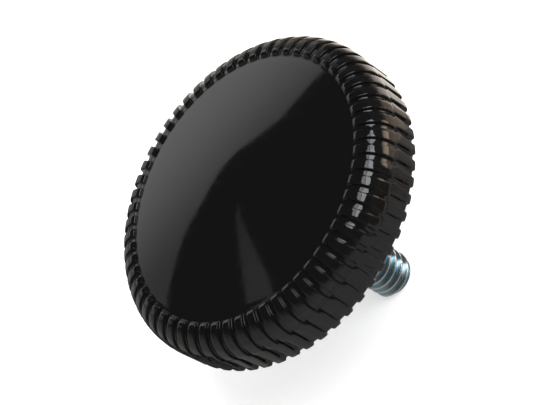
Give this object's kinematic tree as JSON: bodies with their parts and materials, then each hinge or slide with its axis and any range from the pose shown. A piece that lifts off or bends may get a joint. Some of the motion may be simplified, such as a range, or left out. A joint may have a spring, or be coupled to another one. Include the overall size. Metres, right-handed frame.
{
  "type": "knurled knob",
  "caption": "Round black plastic knob with a smooth crowned face, a ribbed rim to grip and a plain threaded steel stud moulded into its back, for clamping and adjusting by hand.",
  "frame": {"origin": "centre of the seat on the back boss, where the stud leaves the knob", "axes": "+Z along the knob's axis, out of the smooth face; the stud runs along -Z"},
  "size_m": [0.0444, 0.0444, 0.0321],
  "materials": {
    "black_plastic": "black, glossy as moulded",
    "zinc_steel": "bright bluish zinc plate"
  },
  "bodies": {
    "root": {"knob_body": "black_plastic", "threaded_stud": "zinc_steel"}
  },
  "joints": []
}
